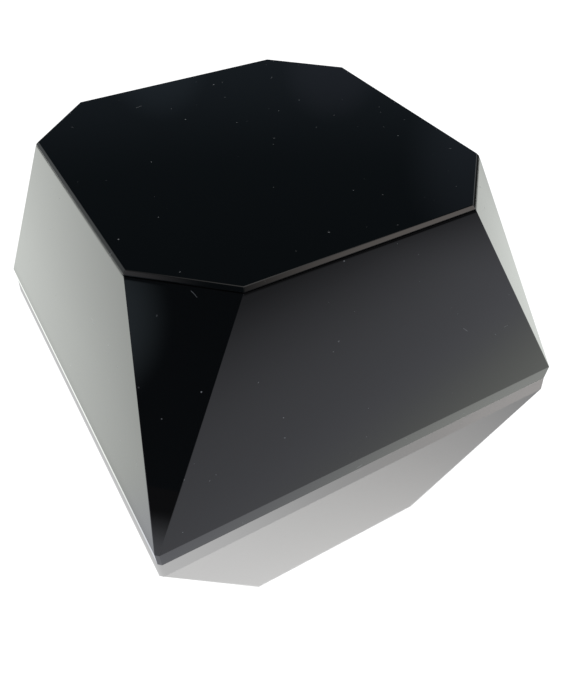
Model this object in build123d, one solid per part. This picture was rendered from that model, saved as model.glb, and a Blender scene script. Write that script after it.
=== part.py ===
from build123d import *
import os
from math import atan, cos, degrees, hypot, pi, radians, sin, sqrt

# Sealed, back-mounted retroreflector block: a black octagonal window in a faceted
# casing, over one glass corner cube. Millimetres, +Z up and out of the window.
# The origin is the centre of the underside, +X runs along the front wall.

# ---- outside ---------------------------------------------------------------
BASE_X, BASE_Y = 100.0, 102.0      # footprint over the edge band
TOP_X, TOP_Y = 79.0, 81.0          # window over its flats
HEIGHT = 50.0
PLATE = 3.8                        # base plate, seen as the edge band
PLATE_UNDERCUT = 0.2               # the band leans in towards the underside
BEVEL = 0.6                        # polished bevel round the window
# corner cuts at the window, and at the base as a part of those, from the front left
CORNER_LEGS = [(15.5, 14.3), (14.2, 15.2), (14.3, 14.3), (14.3, 14.3)]
CORNER_CLIPS = [0.045, 0.015, 0.045, 0.045]
WINDOW_EDGE_Z = HEIGHT - BEVEL

# ---- window and casing -----------------------------------------------------
LIP_Z = WINDOW_EDGE_Z - 0.1        # underside of the window's lip
BOND = 0.25                        # bond line under the lip
BOND_RECESS = 0.25
RIM_Z = LIP_Z - BOND               # top of the casing wall
MOUTH_INSET = 3.2                  # width of the rim that carries the lip
PLUG_GAP = 0.4                     # round the window's plug
LEDGE_Z = 46.0                     # ledge that carries the mask
MASK = 0.5
WALL_BASE, WALL_TOP = 8.0, 6.0     # casing wall at the plate and at the ledge
EDGE_BREAK = 0.12                  # polished break along the casing's arrises

# ---- glass corner cube and its coats ---------------------------------------
APERTURE_R = 19.6
CUBE_R = 21.0
CUBE_FACE_Z = 42.6
CUBE_RIM = 2.3                     # full cylinder above the three faces
APEX_Z = CUBE_FACE_Z - CUBE_RIM - sqrt(2) * CUBE_R
MIRROR_COAT, LACQUER = 0.12, 0.15
APEX_PER_COAT = sqrt(3)            # drop of the apex for each unit of coat
DIAGONAL_TILT = degrees(atan(sqrt(2)))

# ---- cell that holds the cube ----------------------------------------------
PEDESTAL_R, PEDESTAL_Z = 31.8, 6.0
CELL_R, CELL_TOP_Z = 25.0, 45.8
FLANGE_R, FLANGE = 31.5, 3.0
CELL_BORE_R = CUBE_R + 0.15
CELL_THROAT_R = 18.5
SHOULDER_Z = 19.8
CUSHION, SEAT = 1.5, 3.2
RING_THREAD_R = 23.5
RING_STEP_Z = 43.2
O_RING_SECTION = 1.3
CELL_SCREW_PCR = 28.2
M3_R, M3_HEAD_R, M3_HEAD, M3_KEY = 1.5, 2.75, 3.0, 1.25
DOWEL_R = 1.0

# ---- underside -------------------------------------------------------------
SUNK = 0.2                         # fittings stay this far above the underside
BOSS_R, BOSS_TOP_Z = 15.0, 9.2
INSERT_R, INSERT_FLANGE_R = 11.0, 13.5
INSERT_FLANGE = 2.0
POLE_THREAD_R = 6.8                # core of the 5/8 inch pole thread
POLE_THREAD_TOP_Z = 7.8
KEY_PIN_R, KEY_PIN_RADIUS = 0.75, 12.25
PATTERN = 56.0                     # square of four tapped holes
PATTERN_BOSS_R, PATTERN_TOP_Z = 7.0, 8.8
BUSH_R, BUSH_HOLE_R = 4.5, 2.5
SCREW_LINE = 4.0                   # base screws, in from the edge
SCREW_SPAN = 30.0
SCREW_TIP_Z = 13.0
SINK_R = 2.9                       # countersunk head
SEAL_INSET, SEAL_W, SEAL_DEEP = 6.6, 1.6, 1.2
VENT_Y = -37.0
VENT_HEAD_R, VENT_HEAD, VENT_R = 4.4, 1.6, 2.4
VENT_TOP_Z = 6.0
CAPSULE_R, CAPSULE_LONG, CAPSULE_Y = 4.0, 24.0, 36.6
CLIP = 0.5


def clipped_rectangle(half_x, half_y, legs, z):
    """Eight points round a rectangle with cut corners, from the front left corner."""
    (ax, ay), (bx, by), (cx, cy), (dx, dy) = legs
    plan = [(-half_x, ay - half_y), (ax - half_x, -half_y),
            (half_x - bx, -half_y), (half_x, by - half_y),
            (half_x, half_y - cy), (half_x - cx, half_y),
            (dx - half_x, half_y), (-half_x, half_y - dy)]
    return [Vector(x, y, z) for x, y in plan]


def corner_cuts(shares):
    return [(x * share, y * share) for (x, y), share in zip(CORNER_LEGS, shares)]


def block_outline(z, inset=0.0, at=None):
    """The casing's outline at height z, drawn at height `at` if that is given."""
    rise = (z - PLATE) / (WINDOW_EDGE_Z - PLATE)
    half_x = (BASE_X + (TOP_X - BASE_X) * rise) / 2 - inset
    half_y = (BASE_Y + (TOP_Y - BASE_Y) * rise) / 2 - inset
    shares = [clip + (1 - clip) * rise for clip in CORNER_CLIPS]
    return clipped_rectangle(half_x, half_y, corner_cuts(shares), z if at is None else at)


def crown_leg(x, y):
    """A corner's legs after an even inset of one bevel, still parallel to the first."""
    share = 1 - BEVEL * (x + y - hypot(x, y)) / (x * y)
    return x * share, y * share


def frustum(lower, upper):
    """Solid with flat sides between two outlines that have the same count of points."""
    sides = []
    for i in range(len(lower)):
        j = (i + 1) % len(lower)
        sides.append(Face(Wire.make_polygon([lower[i], lower[j], upper[j], upper[i]])))
    ends = [Face(Wire.make_polygon(lower)), Face(Wire.make_polygon(upper))]
    return Solid(Shell(ends + sides))


def octagon_slab(inset, low, high):
    """Straight slab with the window's outline, inset by a clear margin."""
    return frustum(block_outline(RIM_Z, inset, low), block_outline(RIM_Z, inset, high))


def disc(radius, low, high, x=0.0, y=0.0):
    """Upright cylinder between two heights."""
    return Pos(x, y, (low + high) / 2) * Cylinder(radius, high - low)


def tube(outer, inner, low, high):
    return disc(outer, low, high) - disc(inner, low - 1, high + 1)


def around(radius, count, start=0.0):
    """Evenly spaced places on a circle."""
    turns = [radians(start) + 2 * pi * i / count for i in range(count)]
    return [(radius * cos(turn), radius * sin(turn)) for turn in turns]


def square_places(spacing):
    return [(x * spacing / 2, y * spacing / 2) for x in (-1, 1) for y in (-1, 1)]


def base_screw_places():
    """Two screws in each wall of the casing."""
    x, y = BASE_X / 2 - SCREW_LINE, BASE_Y / 2 - SCREW_LINE
    on_sides = [(i * x, j * SCREW_SPAN) for i in (-1, 1) for j in (-1, 1)]
    on_ends = [(i * SCREW_SPAN, j * y) for i in (-1, 1) for j in (-1, 1)]
    return on_sides + on_ends


def group(solids):
    return Compound(children=[solid for part in solids for solid in part.solids()])


def cube_corner(drop=0.0):
    """Three square faces that meet at the apex, cut to the cube's cylinder."""
    size = 3 * CUBE_R
    block = Box(size, size, size, align=(Align.MIN, Align.MIN, Align.MIN))
    upright = Rot(0, 0, 90) * Rot(0, -DIAGONAL_TILT, 0) * Rot(0, 0, -45) * block
    corner = Pos(0, 0, APEX_Z - drop * APEX_PER_COAT) * upright
    return corner & disc(CUBE_R, APEX_Z - 2, CUBE_FACE_Z)


# ---- window ----------------------------------------------------------------
def front_window():
    """Black window: bevelled crown, thin lip over the casing wall, and a plug."""
    edge = block_outline(WINDOW_EDGE_Z)
    legs = [crown_leg(x, y) for x, y in CORNER_LEGS]
    crown = clipped_rectangle(TOP_X / 2 - BEVEL, TOP_Y / 2 - BEVEL, legs, HEIGHT)
    lip = frustum(block_outline(LIP_Z), edge)
    plug = octagon_slab(MOUTH_INSET + PLUG_GAP, LEDGE_Z + MASK, LIP_Z)
    return frustum(edge, crown) + lip + plug


def window_bond():
    """Ring of sealant between the lip and the rim, set back as a fine dark line."""
    outer = frustum(block_outline(RIM_Z, BOND_RECESS), block_outline(LIP_Z, BOND_RECESS))
    return outer - octagon_slab(MOUTH_INSET, RIM_Z - 1, LIP_Z + 1)


def aperture_mask():
    """Matt sheet on the ledge, open over the cube's aperture only."""
    sheet = octagon_slab(MOUTH_INSET + PLUG_GAP, LEDGE_Z, LEDGE_Z + MASK)
    return sheet - disc(APERTURE_R, LEDGE_Z - 1, LEDGE_Z + 1)


# ---- casing ----------------------------------------------------------------
def casing():
    """Four leaning walls and four corner facets, open below and at the mouth."""
    body = frustum(block_outline(PLATE), block_outline(RIM_Z))
    arrises = body.edges().filter_by(lambda edge: edge.center().Z > PLATE + EDGE_BREAK)
    body = chamfer(arrises, EDGE_BREAK)
    cavity = frustum(block_outline(PLATE, WALL_BASE), block_outline(LEDGE_Z, WALL_TOP))
    mouth = octagon_slab(MOUTH_INSET, LEDGE_Z, HEIGHT)
    body = body - cavity - mouth
    for x, y in base_screw_places():
        body -= disc(M3_R, PLATE - 1, SCREW_TIP_Z + 1, x, y)
    return body


# ---- glass -----------------------------------------------------------------
def corner_cube():
    return cube_corner()


def mirror_coat():
    """Metal film on the three faces."""
    return cube_corner(MIRROR_COAT) - cube_corner()


def coat_lacquer():
    """Paint that guards the metal film."""
    return cube_corner(MIRROR_COAT + LACQUER) - cube_corner(MIRROR_COAT)


# ---- cell ------------------------------------------------------------------
def prism_cell():
    """Stepped tube on a flange: throat, shoulder, cube bore and ring thread."""
    cell = disc(CELL_R, PEDESTAL_Z, CELL_TOP_Z) + disc(FLANGE_R, PEDESTAL_Z, PEDESTAL_Z + FLANGE)
    cell -= disc(CELL_THROAT_R, 0, HEIGHT)
    cell -= disc(CELL_BORE_R, SHOULDER_Z, HEIGHT)
    cell -= disc(RING_THREAD_R + 0.05, RING_STEP_Z, HEIGHT)
    for x, y in around(CELL_SCREW_PCR, 4, 45):
        cell -= disc(M3_R + 0.15, 0, HEIGHT / 2, x, y)
    for x, y in around(CELL_SCREW_PCR, 2):
        cell -= disc(DOWEL_R, 0, HEIGHT / 2, x, y)
    return cell


def rear_cushion():
    return tube(CUBE_R, CELL_THROAT_R + 0.2, SHOULDER_Z, SHOULDER_Z + CUSHION)


def rear_seat():
    """Hard ring with three notches in which the cube's back edges rest."""
    low = SHOULDER_Z + CUSHION
    return tube(CUBE_R, CELL_THROAT_R + 0.1, low, low + SEAT) - cube_corner(MIRROR_COAT + LACQUER)


def front_o_ring():
    section = O_RING_SECTION / 2
    return Pos(0, 0, CUBE_FACE_Z + section) * Torus(CUBE_R - 0.7, section)


def retaining_ring():
    """Threaded ring with a flared bore and two slots for a pin spanner."""
    low, high = CUBE_FACE_Z + O_RING_SECTION, CELL_TOP_Z
    ring = tube(RING_THREAD_R, APERTURE_R, low, high)
    flare = Pos(0, 0, (low + high) / 2 + 0.5) * Cone(APERTURE_R - 0.4, APERTURE_R + 1.4, high - low)
    ring -= flare
    for x, y in around(RING_THREAD_R - 1, 2, 90):
        ring -= Pos(x, y, high) * Box(2.4, 3.4, 1.6)
    return ring


def cell_screw(x, y):
    seat = PEDESTAL_Z + FLANGE
    screw = disc(M3_R, 1.5, seat, x, y) + disc(M3_HEAD_R, seat, seat + M3_HEAD, x, y)
    key = Pos(x, y, seat + M3_HEAD - 1.5) * extrude(RegularPolygon(M3_KEY, 6), 2)
    return screw - key


def cell_screws():
    return group(cell_screw(x, y) for x, y in around(CELL_SCREW_PCR, 4, 45))


def cell_dowels():
    return group(disc(DOWEL_R, 2.0, 8.4, x, y) for x, y in around(CELL_SCREW_PCR, 2))


# ---- base plate and its fittings -------------------------------------------
def seal_loop(width, low, high):
    """Rounded rectangular loop under the casing wall."""
    long_x, long_y = BASE_X - 2 * SEAL_INSET, BASE_Y - 2 * SEAL_INSET
    outer = RectangleRounded(long_x + width, long_y + width, 4 + width / 2)
    inner = RectangleRounded(long_x - width, long_y - width, 4 - width / 2)
    return Pos(0, 0, low) * extrude(outer - inner, high - low)


def screw_sink(x, y, radius):
    """Countersink with a clearance hole, as one cutter."""
    deep = SINK_R - M3_R + SUNK
    cone = Pos(x, y, deep / 2) * Cone(SINK_R + SUNK, M3_R, deep)
    return cone + disc(radius, -1, PLATE + 1, x, y)


def base_plate():
    """Edge-banded plate with the centre boss, pedestal and four tapped bosses."""
    half_x, half_y = BASE_X / 2 - PLATE_UNDERCUT, BASE_Y / 2 - PLATE_UNDERCUT
    underside = clipped_rectangle(half_x, half_y, corner_cuts(CORNER_CLIPS), 0)
    plate = frustum(underside, block_outline(PLATE))
    plate += disc(PEDESTAL_R, PLATE - 1, PEDESTAL_Z)
    plate += disc(BOSS_R, PLATE, BOSS_TOP_Z)
    for x, y in square_places(PATTERN):
        plate += disc(PATTERN_BOSS_R, PLATE - 1, PATTERN_TOP_Z, x, y)
        plate -= disc(BUSH_R, -1, HEIGHT, x, y)
    plate -= disc(INSERT_R, -1, HEIGHT)
    plate -= disc(INSERT_FLANGE_R, BOSS_TOP_Z - INSERT_FLANGE, HEIGHT)
    plate -= seal_loop(SEAL_W, PLATE - SEAL_DEEP, PLATE + 1)
    for x, y in base_screw_places():
        plate -= screw_sink(x, y, M3_R + 0.15)
    for x, y in around(CELL_SCREW_PCR, 4, 45):
        plate -= disc(M3_R, 1.5, HEIGHT, x, y)
    for x, y in around(CELL_SCREW_PCR, 2):
        plate -= disc(DOWEL_R, 2.0, HEIGHT, x, y)
    for x, y in around(KEY_PIN_RADIUS, 2, 90):
        plate -= disc(KEY_PIN_R, 4.5, HEIGHT, x, y)
    plate -= disc(VENT_HEAD_R + 0.1, -1, VENT_HEAD, 0, VENT_Y)
    plate -= disc(VENT_R, -1, HEIGHT, 0, VENT_Y)
    return plate


def base_seal():
    return seal_loop(SEAL_W, PLATE - SEAL_DEEP, PLATE)


def base_screw(x, y):
    high = SUNK + SINK_R - M3_R
    head = Pos(x, y, (SUNK + high) / 2) * Cone(SINK_R, M3_R, SINK_R - M3_R)
    key = Pos(x, y, 0) * extrude(RegularPolygon(1.1, 6), SUNK + 1.1)
    return head + disc(M3_R, high, SCREW_TIP_Z, x, y) - key


def base_screws():
    return group(base_screw(x, y) for x, y in base_screw_places())


def mount_insert():
    """Pole thread bush, flanged on the inside so that a pull can't draw it out."""
    insert = disc(INSERT_R, SUNK, BOSS_TOP_Z)
    insert += disc(INSERT_FLANGE_R, BOSS_TOP_Z - INSERT_FLANGE, BOSS_TOP_Z)
    insert -= disc(POLE_THREAD_R, -1, POLE_THREAD_TOP_Z)
    for x, y in around(KEY_PIN_RADIUS, 2, 90):
        insert -= disc(KEY_PIN_R, 0, HEIGHT, x, y)
    return insert


def insert_pins():
    return group(disc(KEY_PIN_R, 4.5, BOSS_TOP_Z, x, y) for x, y in around(KEY_PIN_RADIUS, 2, 90))


def pattern_bush(x, y):
    bush = disc(BUSH_R, SUNK, PATTERN_TOP_Z, x, y)
    return bush - disc(BUSH_HOLE_R, -1, PATTERN_TOP_Z - 0.8, x, y)


def pattern_bushes():
    return group(pattern_bush(x, y) for x, y in square_places(PATTERN))


def vent_plug():
    """Slotted plug with a breathing hole."""
    plug = disc(VENT_HEAD_R, SUNK, VENT_HEAD, 0, VENT_Y) + disc(VENT_R, VENT_HEAD, VENT_TOP_Z, 0, VENT_Y)
    plug -= disc(0.9, -1, HEIGHT, 0, VENT_Y)
    return plug - Pos(0, VENT_Y, SUNK) * Box(6.4, 1.0, 1.2)


def vent_membrane():
    return disc(VENT_R, VENT_TOP_Z, VENT_TOP_Z + 0.3, 0, VENT_Y)


def lying_rod(radius, length):
    return Pos(0, CAPSULE_Y, PLATE + CLIP + CAPSULE_R) * Rot(0, 90, 0) * Cylinder(radius, length)


def desiccant_capsule():
    capsule = lying_rod(CAPSULE_R, CAPSULE_LONG)
    ends = capsule.edges().filter_by(GeomType.CIRCLE)
    return chamfer(ends, 0.8)


def desiccant_clip():
    """Spring clip, open at the top, on a flat foot."""
    hoop = lying_rod(CAPSULE_R + CLIP, 9) - lying_rod(CAPSULE_R, 10)
    opening = Pos(0, CAPSULE_Y, PLATE + CLIP + 2 * CAPSULE_R) * Box(12, 6.4, 5)
    foot = Pos(0, CAPSULE_Y, PLATE + CLIP / 2) * Box(9, 9, CLIP)
    return hoop - opening + (foot - lying_rod(CAPSULE_R, 10))


NODES = [front_window, window_bond, aperture_mask, casing, corner_cube, mirror_coat,
         coat_lacquer, prism_cell, rear_cushion, rear_seat, front_o_ring, retaining_ring,
         cell_screws, cell_dowels, base_plate, base_seal, base_screws, mount_insert,
         insert_pins, pattern_bushes, vent_plug, vent_membrane, desiccant_capsule,
         desiccant_clip]

os.makedirs("parts", exist_ok=True)
for make in NODES:
    export_step(make(), f"parts/{make.__name__}.step")
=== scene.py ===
import math

import bmesh
import bpy
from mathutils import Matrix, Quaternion, Vector


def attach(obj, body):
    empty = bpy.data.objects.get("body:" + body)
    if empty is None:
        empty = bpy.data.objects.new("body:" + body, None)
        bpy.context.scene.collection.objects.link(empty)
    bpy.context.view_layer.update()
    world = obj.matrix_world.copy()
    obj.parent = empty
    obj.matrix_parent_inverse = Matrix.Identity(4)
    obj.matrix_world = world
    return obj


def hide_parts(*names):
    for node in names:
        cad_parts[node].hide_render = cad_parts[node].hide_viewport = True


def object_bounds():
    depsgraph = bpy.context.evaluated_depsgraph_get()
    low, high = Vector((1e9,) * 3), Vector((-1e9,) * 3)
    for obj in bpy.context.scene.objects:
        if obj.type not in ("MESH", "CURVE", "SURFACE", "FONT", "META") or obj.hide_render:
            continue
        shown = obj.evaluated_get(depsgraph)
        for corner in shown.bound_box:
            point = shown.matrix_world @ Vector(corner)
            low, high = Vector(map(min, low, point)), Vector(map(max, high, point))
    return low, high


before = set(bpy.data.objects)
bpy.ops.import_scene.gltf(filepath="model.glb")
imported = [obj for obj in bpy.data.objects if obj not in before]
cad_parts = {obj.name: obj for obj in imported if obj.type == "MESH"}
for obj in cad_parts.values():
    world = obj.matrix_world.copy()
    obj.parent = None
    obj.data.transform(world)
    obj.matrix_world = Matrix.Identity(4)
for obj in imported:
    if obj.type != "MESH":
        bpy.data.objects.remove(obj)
cad_low, cad_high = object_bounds()

MM = 0.001

# ---- camera ----------------------------------------------------------------
CAMERA_PLACE = Vector((-63.5, -121.9, 123.4)) * MM
CAMERA_AIM = Vector((-9.75, -27.65, 20.0)) * MM
CAMERA_ROLL = math.radians(0.2)
CAMERA_LENS = 37.07                # for a 36 mm sensor on the frame's long side

# ---- block outline, in millimetres -----------------------------------------
BASE_HALF = (50.0, 51.0)
TOP_HALF = (39.5, 40.5)
HEIGHT, PLATE_Z, BEVEL = 50.0, 3.8, 0.6
CORNER_LEGS = ((15.5, 14.3), (14.2, 15.2), (14.3, 14.3), (14.3, 14.3))
CORNER_CLIPS = (0.045, 0.015, 0.045, 0.045)
EDGE_Z = HEIGHT - BEVEL
LIP_Z, RIM_Z = 49.3, 49.05
MOUTH_INSET, PLUG_INSET = 3.2, 3.6
LEDGE_Z, MASK_TOP_Z = 46.0, 46.5
WALL_TOP, WALL_BASE = 6.0, 8.0
ROLL_TALL = 0.6                    # polished roll-off at the top of each wall
ROLL_TILT = math.radians(8.5)
ROLL_STEPS = 5
ARRIS, CROWN_ARRIS = 0.12, 0.14    # rounding of the polished edges

# ---- threaded bushes, in millimetres ---------------------------------------
SUNK = 0.2
POLE_CORE, POLE_MAJOR, POLE_PITCH, POLE_BLIND = 6.8, 7.94, 2.309, 7.8
POLE_BODY = ((11.0, 7.2), (13.5, 7.2), (13.5, 9.2))
HOLE_CORE, HOLE_MAJOR, HOLE_PITCH, HOLE_BLIND = 2.5, 3.0, 1.0, 8.0
HOLE_BODY = ((4.5, 8.8),)
HOLE_SPACING = 56.0

# ---- threads ---------------------------------------------------------------
ROWS_PER_PITCH = 10
THREAD_FLAT, THREAD_FLANK = 0.12, 0.74             # crest and flank, as parts of the ramp
THREAD_RELIEF, FLOOR_STEP = 0.7, 0.5               # plain bore left above the last thread
LEAD_IN, RIM_BREAK = 0.25, 0.15
POLE_COLUMNS, HOLE_COLUMNS = 96, 48

# ---- glowing table: spans in millimetres unless they name their unit ---------
TABLE_HALF = 3.0                   # metres
TABLE_DROP = 0.00003               # metres; keeps the underside off the table
GLOW_AXIS = Vector((-0.32, -0.947, 0.0))           # the table darkens along this
GLOW_SCALE = 2.0                   # brightest level that a ramp can hold
FRONT_STOPS = ((36, 1.62), (58, 1.10), (88, 1.01), (102, 0.96), (118, 0.82), (134, 0.68),
               (150, 0.52), (172, 0.30), (230, 0.15), (300, 0.12))
LEFT_STOPS = ((0, 1.78), (45, 1.68), (100, 1.42), (125, 1.17), (155, 0.76), (197, 0.39), (266, 0.16),
              (400, 0.12))
SIDE_TINT = (0.965, 1.0, 0.955)
FRONT_TINT = (0.96, 0.98, 1.07)
PALE_TABLE = 1.12                  # brightness seen directly
LEFT_SPAN = (46, 62)               # the left ramp takes over from the front one
FRONT_SPAN = (40, 70)              # the side tint gives way to the front one
RIGHT_SPAN, RIGHT_LOSS = (90, 170), 0.24
LIT_REACH = (250, 450)             # the glow ends between these distances
UNLIT = 0.06
FOOT_SHADE = 0.20                  # loss of glow along the block's left foot
FOOT_NEAR, FOOT_FAR = (49, 50), (54, 51)
BACK_SHADE = 0.45                  # loss of glow behind the block and on its right
BACK_SLOPE, BACK_LINE = -0.6, (-78, -55)           # slanting line where that begins
BACK_X, BACK_Y = (-45, -20), (-48, -30)
LEFT_SHEEN, RIGHT_SHEEN = 0.60, 0.83               # mirror share at the block's foot
SHEEN_SPAN = (-60, 20)             # from the left share to the right one
SHEEN_FADE = (0, 140)              # distance over which the sheen dies away
LEFT_WALL_SPAN, LEFT_WALL_SHEEN = (49, 52), 0.6    # weaker beside the left wall
SHEEN_ROUGH = 0.03
VEIL_GLOW = 2.0                    # soft overhead light that only the table sees
VEIL_RADIUS = 2.0                  # metres
VEIL_RINGS, VEIL_SPOKES = 8, 24
VEIL_DROP = 0.01                   # metres; lets the dome's foot pass the table

# ---- room ------------------------------------------------------------------
ROOM_DARK = (0.027, 0.040, 0.050)
BELOW_TABLE = (0.22, 0.95)         # darkest and brightest light from underneath
BELOW_WAY = (-0.35, -0.45, -0.82)
BELOW_SPAN, BELOW_HEIGHTS = (0.1, 1.0), (-0.05, -0.10)
# direction, half-width of the full glow, half-width where it ends (degrees), colour
ROOM_GLOWS = (
    ((0.70, -0.48, 0.53), 4, 28, (2.48, 2.25, 2.10)),      # lamp, front right
    ((-0.80, 0.05, 0.60), 10, 23, (1.05, 1.00, 1.02)),     # ceiling, left
    ((-0.66, 0.73, 0.18), 10, 24, (0.60, 0.62, 0.61)),     # low glow, back left
    ((-0.92, -0.34, 0.19), 4, 8.5, (0.34, 0.42, 0.48)),    # low glow, left
    ((0.10, -0.10, 0.99), 12, 36, (1.50, 1.45, 1.40)),     # soft light overhead
    ((0.31, 0.86, 0.37), 1, 4, (0.03, 0.04, 0.05)),        # two faint lamps far behind
    ((0.51, 0.76, 0.38), 1, 4, (0.03, 0.03, 0.04)),
    ((0.68, 0.57, 0.46), 3, 9, (0.06, 0.07, 0.09)),
)
# soft boxes low round the room, for the sides of the block
LOW_BOXES = (
    ((1.00, 0.10, 0.12), 5, 28, (0.95, 0.97, 1.00)),
    ((0.10, 1.00, 0.12), 5, 26, (0.80, 0.84, 0.90)),
    ((-0.85, 0.40, 0.12), 5, 22, (0.90, 0.93, 1.00)),
    ((0.05, -1.00, 0.24), 5, 22, (0.60, 0.62, 0.66)),
)
BOX_FOOT, BOX_HEAD = (-0.01, 0.14), (0.37, 0.24)       # heights over which they fade
BACK_GLOW = (0.024, 0.028, 0.036)  # faint light low behind the block
BACK_WAY = (0.45, 0.89, 0.0)
BACK_SPAN, BACK_HEIGHTS = (0.3, 0.7), (0.50, 0.38)

# ---- gloss black -----------------------------------------------------------
BLACK_IOR = 1.45
BAND_BLACK = (0.0034, 0.0034, 0.0036)
DUST, DUST_ROUGH = (0.30, 0.32, 0.34), 0.9
LINT_STRENGTH = 0.4


# ---- node helpers ----------------------------------------------------------
def add_node(tree, kind, **values):
    """New node; a value named after a socket goes to it, any other to the node."""
    node = tree.nodes.new(kind)
    for name, value in values.items():
        title = name.replace("_", " ")
        if title in node.inputs:
            node.inputs[title].default_value = value
        else:
            setattr(node, name, value)
    return node


def wire(tree, source, target):
    tree.links.new(source, target)


def feed(tree, term, socket):
    """Puts a number, a tuple or another socket into a socket."""
    if isinstance(term, bpy.types.NodeSocket):
        tree.links.new(term, socket)
    else:
        socket.default_value = term


def calc(tree, operation, *terms, clamp=False):
    """Math node over numbers or sockets; gives back its output."""
    node = add_node(tree, "ShaderNodeMath", operation=operation, use_clamp=clamp)
    for socket, term in zip(node.inputs, terms):
        feed(tree, term, socket)
    return node.outputs[0]


def vector_calc(tree, operation, *terms):
    """Vector math node; a lone number after SCALE is the factor."""
    node = add_node(tree, "ShaderNodeVectorMath", operation=operation)
    sockets = [node.inputs[0], node.inputs["Scale"]] if operation == "SCALE" else node.inputs
    for socket, term in zip(sockets, terms):
        feed(tree, term, socket)
    return node.outputs["Value"] if operation in ("DOT_PRODUCT", "LENGTH") else node.outputs[0]


def product(tree, first, *others):
    for other in others:
        first = calc(tree, "MULTIPLY", first, other)
    return first


def ease(tree, source, low, high, to_low=0.0, to_high=1.0):
    """Smooth step of a socket from one span to another."""
    node = add_node(tree, "ShaderNodeMapRange", interpolation_type="SMOOTHSTEP")
    for title, value in (("From Min", low), ("From Max", high), ("To Min", to_low), ("To Max", to_high)):
        feed(tree, value, node.inputs[title])
    wire(tree, source, node.inputs["Value"])
    return node.outputs["Result"]


def ease_mm(tree, source, span, to_low=0.0, to_high=1.0):
    """Smooth step over a span in millimetres."""
    return ease(tree, source, span[0] * MM, span[1] * MM, to_low, to_high)


def blend_colours(tree, share, first, second):
    """Colour mix; each colour is a socket or a tuple of three."""
    node = add_node(tree, "ShaderNodeMix", data_type="RGBA")
    feed(tree, share, node.inputs["Factor"])
    for socket, colour in ((node.inputs[6], first), (node.inputs[7], second)):
        feed(tree, (*colour, 1.0) if isinstance(colour, tuple) else colour, socket)
    return node.outputs[2]


def blend_values(tree, share, first, second):
    node = add_node(tree, "ShaderNodeMix", data_type="FLOAT")
    for place, term in ((0, share), (2, first), (3, second)):
        feed(tree, term, node.inputs[place])
    return node.outputs[0]


def split_xyz(tree, vector):
    node = add_node(tree, "ShaderNodeSeparateXYZ")
    wire(tree, vector, node.inputs[0])
    return node.outputs["X"], node.outputs["Y"], node.outputs["Z"]


def noise(tree, place, scale, detail=2.0, output="Fac"):
    node = add_node(tree, "ShaderNodeTexNoise", Scale=scale, Detail=detail)
    wire(tree, place, node.inputs["Vector"])
    return node.outputs[output]


def fresh_tree(material):
    material.use_nodes = True
    material.node_tree.nodes.clear()
    return material.node_tree


# ---- stage -----------------------------------------------------------------
def make_camera():
    data = bpy.data.cameras.new("camera")
    data.lens = CAMERA_LENS
    data.clip_start = 0.005
    camera = bpy.data.objects.new("camera", data)
    look = CAMERA_AIM - CAMERA_PLACE
    camera.rotation_mode = "QUATERNION"
    camera.rotation_quaternion = Quaternion(look, CAMERA_ROLL) @ look.to_track_quat("-Z", "Y")
    camera.location = CAMERA_PLACE
    bpy.context.scene.collection.objects.link(camera)
    bpy.context.scene.camera = camera


def stage_mesh(name, points, faces, material):
    mesh = bpy.data.meshes.new(name)
    mesh.from_pydata(points, [], faces)
    mesh.materials.append(material)
    piece = bpy.data.objects.new(name, mesh)
    bpy.context.scene.collection.objects.link(piece)
    return piece


def glow_ramp(tree, along, stops):
    """Brightness by distance in millimetres along the table."""
    node = add_node(tree, "ShaderNodeValToRGB")
    node.color_ramp.interpolation = "B_SPLINE"
    reach = stops[-1][0]
    wire(tree, calc(tree, "DIVIDE", along, reach * MM), node.inputs[0])
    for index, (distance, level) in enumerate(stops):
        elements = node.color_ramp.elements
        element = elements[index] if index < 2 else elements.new(distance / reach)
        element.position = distance / reach
        element.color = (*[level / GLOW_SCALE] * 3, 1.0)
    return calc(tree, "MULTIPLY", node.outputs["Color"], GLOW_SCALE)


def past(tree, place, half):
    """How far a coordinate lies outside the block."""
    return calc(tree, "MAXIMUM", calc(tree, "SUBTRACT", calc(tree, "ABSOLUTE", place), half), 0.0)


def table_glow(tree, place, x, y, along):
    """Light that the block gets: bright in front and left, dim behind, on the right and far off."""
    left = calc(tree, "MULTIPLY", x, -1.0)
    level = blend_values(tree, ease_mm(tree, left, LEFT_SPAN), glow_ramp(tree, along, FRONT_STOPS),
                         glow_ramp(tree, along, LEFT_STOPS))
    level = calc(tree, "SUBTRACT", level, ease_mm(tree, x, RIGHT_SPAN, 0.0, RIGHT_LOSS))
    beyond = ease_mm(tree, calc(tree, "MULTIPLY_ADD", x, BACK_SLOPE, y), BACK_LINE)
    behind = product(tree, beyond, ease_mm(tree, y, BACK_Y), ease_mm(tree, x, BACK_X, 0.0, BACK_SHADE))
    at_foot = product(tree, ease_mm(tree, left, FOOT_NEAR), ease_mm(tree, left, FOOT_FAR))
    level = product(tree, level, calc(tree, "SUBTRACT", 1.0, behind),
                    calc(tree, "MULTIPLY_ADD", at_foot, -FOOT_SHADE, 1.0))
    return blend_values(tree, ease_mm(tree, vector_calc(tree, "LENGTH", place), LIT_REACH), level, UNLIT)


def table_sheen(tree, x, y):
    """Share of the table's light that mirrors the block; it fades away from the foot."""
    past_x, past_y = past(tree, x, cad_high.x), past(tree, y, cad_high.y)
    away = calc(tree, "SQRT", calc(tree, "ADD", product(tree, past_x, past_x), product(tree, past_y, past_y)))
    beside = ease_mm(tree, calc(tree, "MULTIPLY", x, -1.0), LEFT_WALL_SPAN, 1.0, LEFT_WALL_SHEEN)
    share = blend_values(tree, ease_mm(tree, x, SHEEN_SPAN), LEFT_SHEEN, RIGHT_SHEEN)
    return product(tree, ease_mm(tree, away, SHEEN_FADE, 1.0, 0.0), share, beside)


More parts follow.
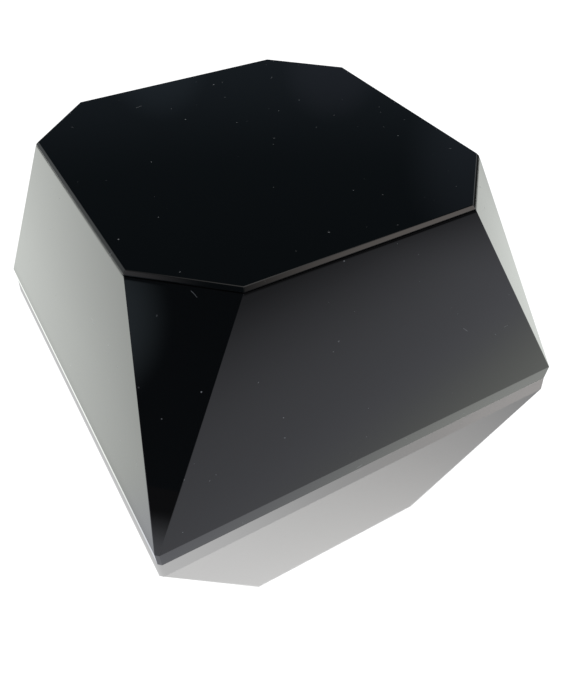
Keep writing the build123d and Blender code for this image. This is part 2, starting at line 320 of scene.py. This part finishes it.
def table_material():
    """Lit table: tinted glow for the block, plain white with a sheen for the camera."""
    material = bpy.data.materials.new("pale_table")
    tree = fresh_tree(material)
    place = add_node(tree, "ShaderNodeTexCoord").outputs["Object"]
    x, y, _ = split_xyz(tree, place)
    along = vector_calc(tree, "DOT_PRODUCT", place, GLOW_AXIS)
    direct = add_node(tree, "ShaderNodeLightPath").outputs["Is Camera Ray"]
    sheen = product(tree, table_sheen(tree, x, y), direct)
    shown = blend_values(tree, direct, table_glow(tree, place, x, y, along), PALE_TABLE)
    tint = blend_colours(tree, ease_mm(tree, along, FRONT_SPAN), SIDE_TINT, FRONT_TINT)
    glow = add_node(tree, "ShaderNodeEmission")
    wire(tree, blend_colours(tree, direct, tint, (1.0, 1.0, 1.0)), glow.inputs["Color"])
    wire(tree, product(tree, shown, calc(tree, "SUBTRACT", 1.0, sheen)), glow.inputs["Strength"])
    gloss = add_node(tree, "ShaderNodeBsdfGlossy", Roughness=SHEEN_ROUGH)
    wire(tree, calc(tree, "DIVIDE", product(tree, sheen, shown), VEIL_GLOW), gloss.inputs["Color"])
    both = add_node(tree, "ShaderNodeAddShader")
    wire(tree, glow.outputs[0], both.inputs[0])
    wire(tree, gloss.outputs[0], both.inputs[1])
    seen = add_node(tree, "ShaderNodeMixShader")
    wire(tree, add_node(tree, "ShaderNodeNewGeometry").outputs["Backfacing"], seen.inputs["Fac"])
    wire(tree, both.outputs[0], seen.inputs[1])
    wire(tree, add_node(tree, "ShaderNodeBsdfTransparent").outputs[0], seen.inputs[2])
    wire(tree, seen.outputs[0], add_node(tree, "ShaderNodeOutputMaterial").inputs["Surface"])
    return material


def veil_material():
    material = bpy.data.materials.new("soft_veil")
    tree = fresh_tree(material)
    both = add_node(tree, "ShaderNodeAddShader")
    wire(tree, add_node(tree, "ShaderNodeEmission", Strength=VEIL_GLOW).outputs[0], both.inputs[0])
    wire(tree, add_node(tree, "ShaderNodeBsdfTransparent").outputs[0], both.inputs[1])
    wire(tree, both.outputs[0], add_node(tree, "ShaderNodeOutputMaterial").inputs["Surface"])
    return material


def make_table():
    half, low = TABLE_HALF, -TABLE_DROP
    corners = [(-half, -half, low), (half, -half, low), (half, half, low), (-half, half, low)]
    return stage_mesh("pale_table", corners, [(0, 1, 2, 3)], table_material())


def make_veil(table):
    """Dome of even light over the table; the block itself isn't lit by it."""
    rings, spokes = VEIL_RINGS, VEIL_SPOKES
    points = [(0.0, 0.0, VEIL_RADIUS)]
    for ring in range(1, rings + 1):
        tilt = math.pi / 2 * ring / rings
        for spoke in range(spokes):
            turn = 2 * math.pi * spoke / spokes
            points.append((VEIL_RADIUS * math.sin(tilt) * math.cos(turn),
                           VEIL_RADIUS * math.sin(tilt) * math.sin(turn),
                           VEIL_RADIUS * math.cos(tilt) - VEIL_DROP))
    faces = []
    for spoke in range(spokes):
        after = (spoke + 1) % spokes
        faces.append((0, 1 + spoke, 1 + after))
        for ring in range(rings - 1):
            inner, outer = 1 + ring * spokes, 1 + (ring + 1) * spokes
            faces.append((inner + spoke, outer + spoke, outer + after, inner + after))
    veil = stage_mesh("soft_veil", points, faces, veil_material())
    veil.visible_camera = False
    veil.visible_shadow = False
    receivers = bpy.data.collections.new("lit_by_veil")
    receivers.objects.link(table)
    veil.light_linking.receiver_collection = receivers


def add_glows(tree, way, total, glows):
    """Adds round glows to a colour that depends on the direction."""
    for direction, near, far, colour in glows:
        towards = vector_calc(tree, "DOT_PRODUCT", way, Vector(direction).normalized())
        share = ease(tree, towards, math.cos(math.radians(far)), math.cos(math.radians(near)))
        total = vector_calc(tree, "ADD", total, vector_calc(tree, "SCALE", colour, share))
    return total


def make_room():
    """Dark room with a few soft glows, and a white backdrop for the camera alone."""
    world = bpy.data.worlds.new("studio")
    bpy.context.scene.world = world
    tree = fresh_tree(world)
    way = add_node(tree, "ShaderNodeTexCoord").outputs["Generated"]
    _, _, up = split_xyz(tree, way)
    boxes = add_glows(tree, way, (0.0, 0.0, 0.0), LOW_BOXES)
    standing = product(tree, ease(tree, up, *BOX_FOOT), ease(tree, up, *BOX_HEAD))
    total = vector_calc(tree, "ADD", add_glows(tree, way, ROOM_DARK, ROOM_GLOWS),
                        vector_calc(tree, "SCALE", boxes, standing))
    behind = ease(tree, vector_calc(tree, "DOT_PRODUCT", way, BACK_WAY), *BACK_SPAN)
    low_back = product(tree, behind, ease(tree, up, *BACK_HEIGHTS))
    total = vector_calc(tree, "ADD", total, vector_calc(tree, "SCALE", BACK_GLOW, low_back))
    below = ease(tree, vector_calc(tree, "DOT_PRODUCT", way, BELOW_WAY), *BELOW_SPAN, *BELOW_TABLE)
    total = blend_colours(tree, ease(tree, up, *BELOW_HEIGHTS), total, below)
    room = add_node(tree, "ShaderNodeBackground")
    wire(tree, total, room.inputs["Color"])
    backdrop = add_node(tree, "ShaderNodeBackground", Color=(1.0, 1.0, 1.0, 1.0))
    choice = add_node(tree, "ShaderNodeMixShader")
    wire(tree, add_node(tree, "ShaderNodeLightPath").outputs["Is Camera Ray"], choice.inputs["Fac"])
    wire(tree, room.outputs[0], choice.inputs[1])
    wire(tree, backdrop.outputs[0], choice.inputs[2])
    wire(tree, choice.outputs[0], add_node(tree, "ShaderNodeOutputWorld").inputs["Surface"])


# ---- shader groups ---------------------------------------------------------
def start_group(name, inputs, outputs):
    """Empty group with named number sockets; gives its tree, inputs and outputs."""
    tree = bpy.data.node_groups.new(name, "ShaderNodeTree")
    for title, value in inputs.items():
        kind = "NodeSocketVector" if isinstance(value, tuple) else "NodeSocketFloat"
        tree.interface.new_socket(title, in_out="INPUT", socket_type=kind).default_value = value
    for title in outputs:
        tree.interface.new_socket(title, in_out="OUTPUT", socket_type="NodeSocketFloat")
    return tree, tree.nodes.new("NodeGroupInput").outputs, tree.nodes.new("NodeGroupOutput").inputs


def millimetres(tree):
    return vector_calc(tree, "SCALE", add_node(tree, "ShaderNodeTexCoord").outputs["Object"], 1 / MM)


def scattered_points(tree, place, spacing):
    """Random points in space: distance, offset and a random colour of the nearest."""
    cells = add_node(tree, "ShaderNodeTexVoronoi", Scale=1.0)
    inverse = calc(tree, "DIVIDE", 1.0, spacing)
    wire(tree, vector_calc(tree, "SCALE", place, inverse), cells.inputs["Vector"])
    centre = vector_calc(tree, "SCALE", cells.outputs["Position"], spacing)
    return calc(tree, "MULTIPLY", cells.outputs["Distance"], spacing), \
        vector_calc(tree, "SUBTRACT", place, centre), cells.outputs["Color"]


def dust_specks():
    """Sparse ragged specks of different sizes and strengths."""
    tree, given, out = start_group("dust_specks", {"Spacing": 3.3, "Size": 0.24}, ["Mask"])
    place = millimetres(tree)
    ragged = vector_calc(tree, "SUBTRACT", noise(tree, place, 2.5, output="Color"), (0.5, 0.5, 0.5))
    place = vector_calc(tree, "ADD", place, vector_calc(tree, "SCALE", ragged, 0.3))
    distance, _, random = scattered_points(tree, place, given["Spacing"])
    first, second, _ = split_xyz(tree, random)
    radius = calc(tree, "MULTIPLY", given["Size"], calc(tree, "MULTIPLY_ADD", first, 0.65, 0.35))
    edge = calc(tree, "DIVIDE", calc(tree, "SUBTRACT", radius, distance), calc(tree, "MULTIPLY", radius, 0.5),
                clamp=True)
    strength = calc(tree, "MULTIPLY_ADD", calc(tree, "MULTIPLY", second, second), 0.8, 0.15)
    wire(tree, calc(tree, "MULTIPLY", edge, strength), out["Mask"])
    return tree


def fine_lines():
    """Sparse short curved lines: lint on gloss, scuffs on a resting face."""
    tree, given, out = start_group("fine_lines", {"Spacing": 16.0, "Length": 0.6, "Width": 0.05, "Bend": 0.4},
                                   ["Mask"])
    place = millimetres(tree)
    distance, offset, random = scattered_points(tree, place, given["Spacing"])
    way = vector_calc(tree, "NORMALIZE", vector_calc(tree, "SUBTRACT", random, (0.5, 0.5, 0.5)))
    wander = calc(tree, "SUBTRACT", noise(tree, place, 0.9, 1.0), 0.5)
    across = calc(tree, "MULTIPLY_ADD", wander, given["Bend"], vector_calc(tree, "DOT_PRODUCT", offset, way))
    thin = calc(tree, "SUBTRACT", 1.0, calc(tree, "DIVIDE", calc(tree, "ABSOLUTE", across), given["Width"]),
                clamp=True)
    ends = ease(tree, distance, given["Length"], calc(tree, "MULTIPLY", given["Length"], 0.7))
    wire(tree, calc(tree, "MULTIPLY", thin, ends), out["Mask"])
    return tree


def polish_haze():
    """Roughness that drifts a little over a polished face."""
    tree, given, out = start_group("polish_haze", {"Low": 0.015, "High": 0.035, "Scale": 0.05}, ["Roughness"])
    node = add_node(tree, "ShaderNodeTexNoise", Detail=3.0)
    wire(tree, millimetres(tree), node.inputs["Vector"])
    wire(tree, given["Scale"], node.inputs["Scale"])
    wire(tree, blend_values(tree, ease(tree, node.outputs["Fac"], 0.3, 0.7), given["Low"], given["High"]),
         out["Roughness"])
    return tree


def turning_marks():
    """Rings left by the lathe round an upright axis."""
    tree, given, out = start_group("turning_marks", {"Pitch": 0.12, "Centre": (0.0, 0.0, 0.0)},
                                   ["Height", "Shade"])
    x, y, z = split_xyz(tree, vector_calc(tree, "SUBTRACT", millimetres(tree), given["Centre"]))
    radius = calc(tree, "SQRT", calc(tree, "ADD", product(tree, x, x), product(tree, y, y)))
    travel = calc(tree, "ADD", radius, z)
    fine = add_node(tree, "ShaderNodeTexNoise", noise_dimensions="1D", Scale=1.0, Detail=2.0)
    wire(tree, calc(tree, "DIVIDE", travel, given["Pitch"]), fine.inputs["W"])
    broad = add_node(tree, "ShaderNodeTexNoise", noise_dimensions="1D", Scale=0.8, Detail=1.0)
    wire(tree, travel, broad.inputs["W"])
    wire(tree, fine.outputs["Fac"], out["Height"])
    slow = calc(tree, "MULTIPLY", broad.outputs["Fac"], 0.6)
    wire(tree, calc(tree, "MULTIPLY_ADD", fine.outputs["Fac"], 0.4, slow), out["Shade"])
    return tree


def moulded_grain():
    """Fine even grain with slow mottling, for moulded and sprayed surfaces."""
    tree, given, out = start_group("moulded_grain", {"Grain": 0.15, "Mottle": 6.0}, ["Height", "Shade"])
    place = millimetres(tree)
    for title, detail, target in (("Grain", 3.0, "Height"), ("Mottle", 4.0, "Shade")):
        node = add_node(tree, "ShaderNodeTexNoise", Scale=1.0, Detail=detail)
        wire(tree, vector_calc(tree, "SCALE", place, calc(tree, "DIVIDE", 1.0, given[title])),
             node.inputs["Vector"])
        wire(tree, node.outputs["Fac"], out[target])
    return tree


def drawn_grain():
    """Long straight grain along one direction, for rolled and brushed metal."""
    tree, given, out = start_group("drawn_grain", {"Stretch": (0.15, 5.0, 5.0)}, ["Height", "Shade"])
    place = vector_calc(tree, "MULTIPLY", millimetres(tree), given["Stretch"])
    wire(tree, noise(tree, place, 1.0, 3.0), out["Height"])
    wire(tree, noise(tree, place, 0.3, 2.0), out["Shade"])
    return tree


def foot_wear():
    """Patchy rubbing close to the face the block stands on."""
    tree, given, out = start_group("foot_wear", {"Level": 0.5, "Amount": 0.5}, ["Mask"])
    place = millimetres(tree)
    _, _, z = split_xyz(tree, place)
    low = ease(tree, z, given["Level"], calc(tree, "MULTIPLY", given["Level"], 0.2))
    patches = ease(tree, noise(tree, place, 0.35, 5.0), 0.48, 0.68)
    wire(tree, product(tree, low, patches, given["Amount"]), out["Mask"])
    return tree


GROUPS = {}


def build_groups():
    for make in (dust_specks, fine_lines, polish_haze, turning_marks, moulded_grain, drawn_grain, foot_wear):
        GROUPS[make.__name__] = make()


def place_group(tree, name, **values):
    """Puts a group in a material with its own values; gives its outputs."""
    node = tree.nodes.new("ShaderNodeGroup")
    node.node_tree = GROUPS[name]
    for title, value in values.items():
        node.inputs[title].default_value = value
    return node.outputs


# ---- materials -------------------------------------------------------------
def start_material(name, **sockets):
    """Principled material; the values are set straight on its sockets."""
    material = bpy.data.materials.new(name)
    material.use_nodes = True
    shader = material.node_tree.nodes["Principled BSDF"]
    for title, value in sockets.items():
        shader.inputs[title.replace("_", " ")].default_value = value
    return material, material.node_tree, shader


def set_bump(tree, shader, height, height_mm):
    """Bump of a real height, in millimetres."""
    bump = add_node(tree, "ShaderNodeBump", Strength=1.0, Distance=height_mm * MM)
    wire(tree, height, bump.inputs["Height"])
    wire(tree, bump.outputs["Normal"], shader.inputs["Normal"])


def gloss_black(name, colour, low, high):
    """Polished black with faint haze, dust and lint; gives its tone and roughness too."""
    material, tree, shader = start_material(name, IOR=BLACK_IOR)
    specks = place_group(tree, "dust_specks")["Mask"]
    lint = place_group(tree, "fine_lines", Spacing=10.0, Length=0.9, Width=0.09)["Mask"]
    dirt = calc(tree, "MAXIMUM", specks, calc(tree, "MULTIPLY", lint, LINT_STRENGTH))
    haze = place_group(tree, "polish_haze", Low=low, High=high)["Roughness"]
    tone = blend_colours(tree, dirt, colour, DUST)
    rough = blend_values(tree, dirt, haze, DUST_ROUGH)
    wire(tree, tone, shader.inputs["Base Color"])
    wire(tree, rough, shader.inputs["Roughness"])
    return material, tree, shader, tone, rough


def window_glass():
    return gloss_black("window_glass", (0.0028, 0.0032, 0.0036), 0.010, 0.024)[0]


def casing_black():
    return gloss_black("casing_black", (0.0032, 0.0033, 0.0036), 0.014, 0.032)[0]


def plate_black():
    """Gloss edge band over a satin, lightly scuffed underside."""
    material, tree, shader, tone, rough = gloss_black("plate_black", BAND_BLACK, 0.016, 0.036)
    _, _, facing = split_xyz(tree, add_node(tree, "ShaderNodeNewGeometry").outputs["Normal"])
    under = ease(tree, facing, -0.4, -0.8)
    grain = place_group(tree, "moulded_grain", Grain=0.12, Mottle=9.0)
    scuffs = place_group(tree, "fine_lines", Spacing=9.0, Length=7.0, Width=0.05, Bend=0.8)["Mask"]
    rubbed = calc(tree, "MAXIMUM", calc(tree, "MULTIPLY", scuffs, 0.5),
                  place_group(tree, "foot_wear", Level=0.12, Amount=0.10)["Mask"])
    satin = blend_colours(tree, rubbed, (0.018, 0.018, 0.020), (0.16, 0.16, 0.165))
    dull = calc(tree, "MULTIPLY_ADD", grain["Shade"], 0.25, 0.30)
    wire(tree, blend_colours(tree, under, tone, satin), shader.inputs["Base Color"])
    wire(tree, blend_values(tree, under, rough, dull), shader.inputs["Roughness"])
    set_bump(tree, shader, calc(tree, "MULTIPLY", grain["Height"], under), 0.012)
    return material


def sealant():
    """Black silicone bead, dull and slightly uneven."""
    material, tree, shader = start_material("sealant", Specular_IOR_Level=0.35)
    grain = place_group(tree, "moulded_grain", Grain=0.3, Mottle=3.0)
    wire(tree, blend_colours(tree, grain["Shade"], (0.004, 0.004, 0.0045), (0.012, 0.012, 0.013)),
         shader.inputs["Base Color"])
    wire(tree, calc(tree, "MULTIPLY_ADD", grain["Shade"], 0.3, 0.40), shader.inputs["Roughness"])
    set_bump(tree, shader, grain["Height"], 0.03)
    return material


def sprayed_black(name, colour, rough):
    """Matt black coating with a fine sprayed grain."""
    material, tree, shader = start_material(name, Specular_IOR_Level=0.3)
    grain = place_group(tree, "moulded_grain", Grain=0.08, Mottle=5.0)
    darker = tuple(0.6 * part for part in colour)
    wire(tree, blend_colours(tree, grain["Shade"], darker, colour), shader.inputs["Base Color"])
    wire(tree, calc(tree, "MULTIPLY_ADD", grain["Height"], 0.15, rough), shader.inputs["Roughness"])
    set_bump(tree, shader, grain["Height"], 0.01)
    return material


def mask_black():
    return sprayed_black("mask_black", (0.014, 0.014, 0.015), 0.72)


def optical_glass():
    """Clear ground and polished glass with a trace of polish haze."""
    material, tree, shader = start_material("optical_glass", Transmission_Weight=1.0, IOR=1.517)
    haze = place_group(tree, "polish_haze", Low=0.0, High=0.02, Scale=0.12)["Roughness"]
    wire(tree, haze, shader.inputs["Roughness"])
    specks = place_group(tree, "dust_specks", Spacing=6.0, Size=0.12)["Mask"]
    wire(tree, blend_colours(tree, specks, (0.985, 0.995, 0.99), (0.8, 0.8, 0.78)),
         shader.inputs["Base Color"])
    return material


def mirror_film():
    """Copper-toned film with pinholes and a slow drift in tone."""
    material, tree, shader = start_material("mirror_film", Metallic=1.0)
    grain = place_group(tree, "moulded_grain", Grain=0.5, Mottle=9.0)
    pinholes = place_group(tree, "dust_specks", Spacing=2.6, Size=0.10)["Mask"]
    film = blend_colours(tree, grain["Shade"], (0.80, 0.56, 0.43), (0.90, 0.68, 0.56))
    wire(tree, blend_colours(tree, pinholes, film, (0.10, 0.09, 0.08)), shader.inputs["Base Color"])
    wire(tree, blend_values(tree, pinholes, calc(tree, "MULTIPLY_ADD", grain["Height"], 0.06, 0.04), 0.6),
         shader.inputs["Roughness"])
    return material


def back_paint():
    """Brushed-on protective paint with visible strokes."""
    material, tree, shader = start_material("back_paint", IOR=1.48)
    strokes = place_group(tree, "drawn_grain", Stretch=(0.25, 2.2, 0.6))
    grain = place_group(tree, "moulded_grain", Grain=0.4, Mottle=5.0)
    wire(tree, blend_colours(tree, strokes["Shade"], (0.050, 0.042, 0.038), (0.105, 0.088, 0.078)),
         shader.inputs["Base Color"])
    wire(tree, calc(tree, "MULTIPLY_ADD", grain["Shade"], 0.25, 0.28), shader.inputs["Roughness"])
    set_bump(tree, shader, strokes["Height"], 0.05)
    return material


def cell_anodised():
    """Turned aluminium, anodised black, with lighter worn ridges."""
    material, tree, shader = start_material("cell_anodised", Metallic=0.0, IOR=1.6)
    marks = place_group(tree, "turning_marks", Pitch=0.16)
    specks = place_group(tree, "dust_specks", Spacing=3.2, Size=0.10)["Mask"]
    colour = blend_colours(tree, marks["Shade"], (0.010, 0.010, 0.012), (0.034, 0.033, 0.036))
    wire(tree, blend_colours(tree, specks, colour, (0.20, 0.20, 0.20)), shader.inputs["Base Color"])
    wire(tree, calc(tree, "MULTIPLY_ADD", marks["Shade"], 0.25, 0.28), shader.inputs["Roughness"])
    set_bump(tree, shader, marks["Height"], 0.012)
    return material


def rubber(name, dark, light, grain_size, rough):
    """Moulded elastomer with a dusty bloom."""
    material, tree, shader = start_material(name, Specular_IOR_Level=0.4, Sheen_Weight=0.15)
    grain = place_group(tree, "moulded_grain", Grain=grain_size, Mottle=4.0)
    specks = place_group(tree, "dust_specks", Spacing=2.4, Size=0.12)["Mask"]
    colour = blend_colours(tree, grain["Shade"], dark, light)
    wire(tree, blend_colours(tree, calc(tree, "MULTIPLY", specks, 0.5), colour, (0.5, 0.5, 0.48)),
         shader.inputs["Base Color"])
    wire(tree, calc(tree, "MULTIPLY_ADD", grain["Shade"], 0.2, rough), shader.inputs["Roughness"])
    set_bump(tree, shader, grain["Height"], 0.02)
    return material


def cushion_silicone():
    return rubber("cushion_silicone", (0.42, 0.075, 0.035), (0.52, 0.11, 0.055), 0.25, 0.42)


def o_ring_rubber():
    return rubber("o_ring_rubber", (0.010, 0.010, 0.011), (0.024, 0.024, 0.025), 0.18, 0.45)


def polymer(name, dark, light, rough, see_through):
    """Moulded engineering polymer with a little light going into it."""
    material, tree, shader = start_material(name, IOR=1.48, Subsurface_Weight=see_through,
                                            Subsurface_Scale=1.5 * MM)
    grain = place_group(tree, "moulded_grain", Grain=0.22, Mottle=8.0)
    wire(tree, blend_colours(tree, grain["Shade"], dark, light), shader.inputs["Base Color"])
    wire(tree, calc(tree, "MULTIPLY_ADD", grain["Height"], 0.15, rough), shader.inputs["Roughness"])
    set_bump(tree, shader, grain["Height"], 0.015)
    return material


def seat_polymer():
    return polymer("seat_polymer", (0.72, 0.71, 0.66), (0.82, 0.81, 0.77), 0.34, 0.25)


def vent_polymer():
    return polymer("vent_polymer", (0.020, 0.020, 0.022), (0.045, 0.045, 0.048), 0.40, 0.0)


def capsule_polymer():
    return polymer("capsule_polymer", (0.62, 0.68, 0.72), (0.76, 0.81, 0.84), 0.24, 0.4)


def membrane():
    """Thin white felted breathing membrane."""
    material, tree, shader = start_material("membrane", Specular_IOR_Level=0.3, Sheen_Weight=0.3)
    fibres = place_group(tree, "moulded_grain", Grain=0.07, Mottle=1.2)
    lines = place_group(tree, "fine_lines", Spacing=0.7, Length=0.6, Width=0.03, Bend=0.3)["Mask"]
    wire(tree, blend_colours(tree, fibres["Shade"], (0.74, 0.74, 0.72), (0.86, 0.86, 0.85)),
         shader.inputs["Base Color"])
    wire(tree, calc(tree, "MULTIPLY_ADD", fibres["Height"], 0.2, 0.65), shader.inputs["Roughness"])
    set_bump(tree, shader, calc(tree, "ADD", fibres["Height"], lines), 0.02)
    return material


def bare_metal(name, dark, light, rough, height_mm, grain, **values):
    """Bare metal whose grain comes from one of the groups."""
    material, tree, shader = start_material(name, Metallic=1.0)
    marks = place_group(tree, grain, **values)
    wire(tree, blend_colours(tree, marks["Shade"], dark, light), shader.inputs["Base Color"])
    wire(tree, calc(tree, "MULTIPLY_ADD", marks["Shade"], 0.20, rough), shader.inputs["Roughness"])
    set_bump(tree, shader, marks["Height"], height_mm)
    return material


def stainless():
    return bare_metal("stainless", (0.46, 0.46, 0.45), (0.64, 0.64, 0.63), 0.18, 0.006,
                      "drawn_grain", Stretch=(1.2, 1.2, 9.0))


def brass_thread():
    return bare_metal("brass_thread", (0.52, 0.36, 0.14), (0.74, 0.56, 0.26), 0.20, 0.008,
                      "turning_marks", Pitch=0.14)


def spring_steel():
    return bare_metal("spring_steel", (0.17, 0.18, 0.21), (0.30, 0.31, 0.34), 0.24, 0.006,
                      "drawn_grain", Stretch=(6.0, 0.3, 0.3))


FINISHES = {
    window_glass: ("front_window",),
    casing_black: ("casing",),
    plate_black: ("base_plate",),
    sealant: ("window_bond",),
    mask_black: ("aperture_mask",),
    optical_glass: ("corner_cube",),
    mirror_film: ("mirror_coat",),
    back_paint: ("coat_lacquer",),
    cell_anodised: ("prism_cell", "retaining_ring"),
    cushion_silicone: ("rear_cushion",),
    seat_polymer: ("rear_seat",),
    o_ring_rubber: ("front_o_ring", "base_seal"),
    stainless: ("cell_screws", "cell_dowels", "base_screws", "insert_pins"),
    brass_thread: ("mount_insert", "pattern_bushes"),
    vent_polymer: ("vent_plug",),
    membrane: ("vent_membrane",),
    capsule_polymer: ("desiccant_capsule",),
    spring_steel: ("desiccant_clip",),
}


def finish_nodes():
    """Gives every node of the frame its finish; returns the materials by name."""
    made = {}
    for make, nodes in FINISHES.items():
        material = made[make.__name__] = make()
        for name in nodes:
            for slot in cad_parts[name].material_slots:
                slot.material = material
    return made


# ---- outer pieces in mesh code ---------------------------------------------
def corner_legs(rise, inset):
    """Legs of the four corner cuts; an even inset keeps each cut parallel."""
    legs = []
    for (leg_x, leg_y), clip in zip(CORNER_LEGS, CORNER_CLIPS):
        share = clip + (1 - clip) * rise
        x, y = leg_x * share, leg_y * share
        kept = 1 - inset * (x + y - math.hypot(x, y)) / (x * y)
        legs.append((x * kept, y * kept))
    return legs


def outline_ring(mesh, z, inset=0.0, at=None):
    """Eight vertices round the block at height z, put at height `at` if given."""
    rise = (z - PLATE_Z) / (EDGE_Z - PLATE_Z)
    half_x = BASE_HALF[0] + (TOP_HALF[0] - BASE_HALF[0]) * rise - inset
    half_y = BASE_HALF[1] + (TOP_HALF[1] - BASE_HALF[1]) * rise - inset
    (ax, ay), (bx, by), (cx, cy), (dx, dy) = corner_legs(rise, inset)
    plan = ((-half_x, ay - half_y), (ax - half_x, -half_y), (half_x - bx, -half_y), (half_x, by - half_y),
            (half_x, half_y - cy), (half_x - cx, half_y), (dx - half_x, half_y), (-half_x, half_y - dy))
    height = z if at is None else at
    return [mesh.verts.new((x * MM, y * MM, height * MM)) for x, y in plan]


def join_rings(mesh, lower, upper, smooth=False):
    for i in range(len(lower)):
        j = (i + 1) % len(lower)
        mesh.faces.new((lower[i], lower[j], upper[j], upper[i])).smooth = smooth


def ring_edges(mesh, ring):
    count = len(ring)
    return [mesh.edges.get((ring[i], ring[(i + 1) % count])) for i in range(count)]


def round_edges(mesh, edges, size, segments=3):
    bmesh.ops.bevel(mesh, geom=edges, offset=size * MM, segments=segments, profile=0.5, affect="EDGES")


def finished_piece(name, mesh, material, slot, *nodes):
    """Object from a bmesh that stands for CAD nodes of the same shape."""
    bmesh.ops.recalc_face_normals(mesh, faces=mesh.faces)
    data = bpy.data.meshes.new(name)
    mesh.to_mesh(data)
    mesh.free()
    data.materials.append(material)
    piece = bpy.data.objects.new(name, data)
    bpy.context.scene.collection.objects.link(piece)
    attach(piece, "root")
    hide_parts(*nodes)
    return piece


def window_pane(material):
    """Bevelled crown with softened arrises, thin lip, and the plug below it."""
    mesh = bmesh.new()
    foot = outline_ring(mesh, RIM_Z, PLUG_INSET, MASK_TOP_Z)
    plug = outline_ring(mesh, RIM_Z, PLUG_INSET, LIP_Z)
    lip = outline_ring(mesh, LIP_Z)
    edge = outline_ring(mesh, EDGE_Z)
    crown = outline_ring(mesh, EDGE_Z, BEVEL, HEIGHT)
    mesh.faces.new(foot)
    for lower, upper in ((foot, plug), (plug, lip), (lip, edge), (edge, crown)):
        join_rings(mesh, lower, upper)
    mesh.faces.new(crown)
    corners = [mesh.edges.get(pair) for pair in zip(edge, crown)]
    round_edges(mesh, ring_edges(mesh, crown) + corners, CROWN_ARRIS, 4)
    return finished_piece("window_pane", mesh, material, "window_glass", "front_window")


def casing_shell(material):
    """Leaning walls and corner facets, rolled off at the rim, with rounded arrises."""
    mesh = bmesh.new()
    lean = math.atan((BASE_HALF[1] - TOP_HALF[1]) / (EDGE_Z - PLATE_Z))
    step = ROLL_TALL / ROLL_STEPS
    outer = [outline_ring(mesh, PLATE_Z), outline_ring(mesh, RIM_Z - ROLL_TALL)]
    inset = 0.0
    for i in range(1, ROLL_STEPS + 1):
        tilt = ROLL_TILT * ((i - 0.5) / ROLL_STEPS) ** 2
        inset += step * (math.tan(lean + tilt) - math.tan(lean))
        outer.append(outline_ring(mesh, RIM_Z - ROLL_TALL + step * i, inset))
    inner = [outline_ring(mesh, RIM_Z, MOUTH_INSET), outline_ring(mesh, RIM_Z, MOUTH_INSET, LEDGE_Z),
             outline_ring(mesh, LEDGE_Z, WALL_TOP), outline_ring(mesh, PLATE_Z, WALL_BASE)]
    rings = outer + inner
    for i, ring in enumerate(rings):
        join_rings(mesh, ring, rings[(i + 1) % len(rings)])
    arrises = [mesh.edges.get(pair) for lower, upper in zip(outer, outer[1:]) for pair in zip(lower, upper)]
    round_edges(mesh, arrises, ARRIS)
    return finished_piece("casing_shell", mesh, material, "casing_black", "casing")


def thread_radius(core, major, pitch, z, turn):
    """Radius of a sharp inner thread, a little flattened at crest and root."""
    ramp = abs((z / pitch - turn) % 1.0 - 0.5) * 2
    return core + (major - core) * min(max((ramp - THREAD_FLAT) / THREAD_FLANK, 0.0), 1.0)


def add_bush(mesh, centre, core, major, pitch, blind, body, columns):
    """Blind threaded bush with a lead-in at its mouth."""
    turns = [c / columns for c in range(columns)]
    step, floor = pitch / ROWS_PER_PITCH, blind - FLOOR_STEP
    rows = [SUNK + step * i for i in range(int((blind - THREAD_RELIEF - SUNK) / pitch * ROWS_PER_PITCH))]
    bore = []
    for z in rows + [floor, blind]:
        ring = []
        for turn in turns:
            radius = core if z >= floor else thread_radius(core, major, pitch, z, turn)
            ring.append((max(radius, major + LEAD_IN - (z - SUNK)), z, turn))
        bore.append(ring)
    wall = body[0][0]
    shell = [(wall - RIM_BREAK, SUNK), (wall, SUNK + RIM_BREAK), *body]
    outside = [[(radius, z, turn) for turn in turns] for radius, z in reversed(shell)]
    rings = []
    for ring in outside + bore:
        rings.append([mesh.verts.new(((centre[0] + r * math.cos(2 * math.pi * t)) * MM,
                                      (centre[1] + r * math.sin(2 * math.pi * t)) * MM, z * MM))
                      for r, z, t in ring])
    barrel = len(outside) - 3
    for number, (lower, upper) in enumerate(zip(rings, rings[1:])):
        join_rings(mesh, lower, upper, smooth=number >= len(outside) or number == barrel)
    mesh.faces.new(rings[0])
    mesh.faces.new(rings[-1])


def pole_bush(material):
    mesh = bmesh.new()
    add_bush(mesh, (0.0, 0.0), POLE_CORE, POLE_MAJOR, POLE_PITCH, POLE_BLIND, POLE_BODY, POLE_COLUMNS)
    return finished_piece("pole_bush", mesh, material, "brass_thread", "mount_insert")


def plate_bushes(material):
    mesh = bmesh.new()
    for x in (-HOLE_SPACING / 2, HOLE_SPACING / 2):
        for y in (-HOLE_SPACING / 2, HOLE_SPACING / 2):
            add_bush(mesh, (x, y), HOLE_CORE, HOLE_MAJOR, HOLE_PITCH, HOLE_BLIND, HOLE_BODY, HOLE_COLUMNS)
    return finished_piece("plate_bushes", mesh, material, "brass_thread", "pattern_bushes")


bpy.context.scene.view_settings.view_transform = "Standard"
make_camera()
pale_table = make_table()
make_veil(pale_table)
make_room()
build_groups()
materials = finish_nodes()
window_pane(materials["window_glass"])
casing_shell(materials["casing_black"])
pole_bush(materials["brass_thread"])
plate_bushes(materials["brass_thread"])
